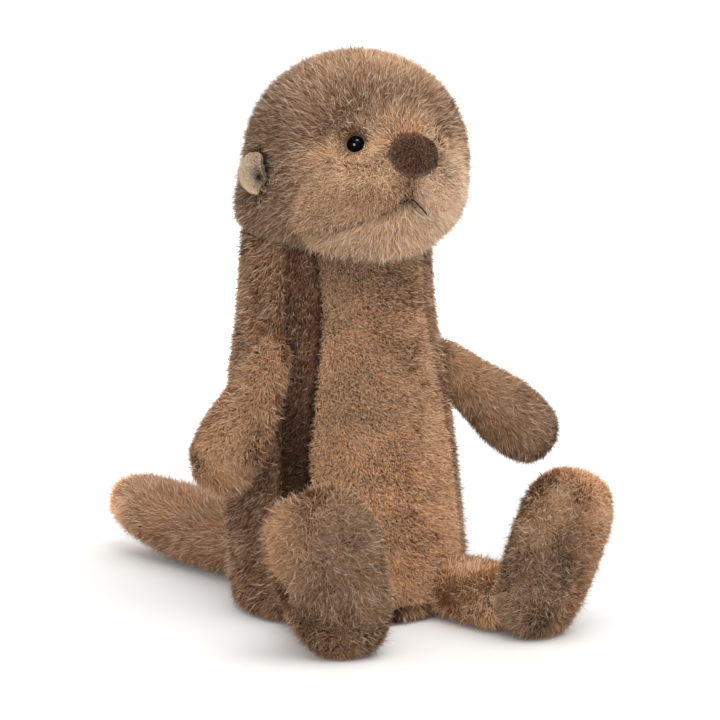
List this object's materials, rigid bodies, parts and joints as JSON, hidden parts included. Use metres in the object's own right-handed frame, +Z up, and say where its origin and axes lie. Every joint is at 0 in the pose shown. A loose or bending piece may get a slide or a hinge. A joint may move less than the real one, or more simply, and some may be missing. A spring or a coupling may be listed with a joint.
{
  "type": "plush toy otter",
  "caption": "Seated stuffed plush otter with sewn-on limbs, a thick tail, bead eyes and a stitched mouth, resting upright on its flat seat.",
  "frame": {"origin": "on the floor, on the flat base of the torso that the toy sits on", "axes": "+Z up, -Y the way the toy's belly faces, +X towards its own left arm"},
  "size_m": [0.1917, 0.2673, 0.2494],
  "materials": {
    "brown_plush": "long brown pile, darker at its roots",
    "belly_plush": "short dense brown pile",
    "face_plush": "light brown pile",
    "ear_plush": "short beige nap",
    "nose_plush": "dark brown velvet nap",
    "eye_bead": "glossy black",
    "stitch_thread": "black sewing thread"
  },
  "bodies": {
    "root": {"torso": "brown_plush", "belly_panel": "belly_plush", "head": "brown_plush", "whisker_pad_left": "face_plush", "whisker_pad_right": "face_plush", "chin": "face_plush", "nose": "nose_plush", "eye_left": "eye_bead", "eye_right": "eye_bead", "ear_left": "ear_plush", "ear_right": "ear_plush", "mouth_stitch_left": "stitch_thread", "mouth_stitch_right": "stitch_thread", "arm_left": "brown_plush", "arm_right": "brown_plush", "leg_left": "brown_plush", "leg_right": "brown_plush", "foot_left": "brown_plush", "foot_right": "brown_plush", "tail": "brown_plush"}
  },
  "joints": []
}
